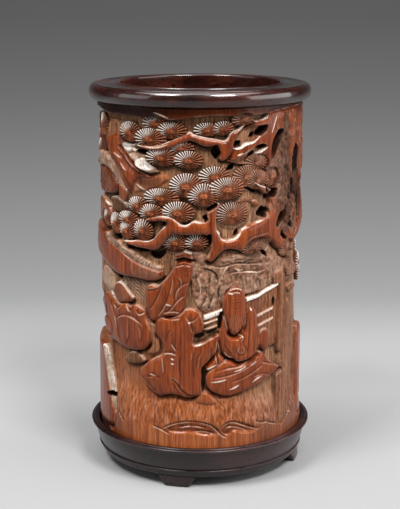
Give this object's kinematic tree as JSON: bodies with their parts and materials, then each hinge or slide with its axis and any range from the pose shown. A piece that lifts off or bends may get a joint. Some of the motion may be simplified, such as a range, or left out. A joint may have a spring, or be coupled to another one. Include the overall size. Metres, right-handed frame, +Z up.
{
  "type": "brush pot",
  "caption": "Cylindrical brush pot of relief-carved bamboo under a turned hardwood rim, in a moulded hardwood stand on low feet, for standing brushes upright.",
  "frame": {"origin": "on the surface that the pot stands on, under the middle of the pot", "axes": "+Z up along the pot's axis, -Y towards the front of the carving"},
  "size_m": [0.1022, 0.1022, 0.175],
  "materials": {
    "rim_wood": "polished dark red hardwood",
    "carved_bamboo": "aged bamboo, waxed, red-brown skin over tan ground",
    "stand_wood": "satin blackish hardwood"
  },
  "bodies": {
    "root": {"rim_ring": "rim_wood", "bamboo_tube": "carved_bamboo", "stand_ring": "stand_wood", "floor_board": "stand_wood", "foot_1": "stand_wood", "foot_2": "stand_wood", "foot_3": "stand_wood", "foot_4": "stand_wood"}
  },
  "joints": []
}
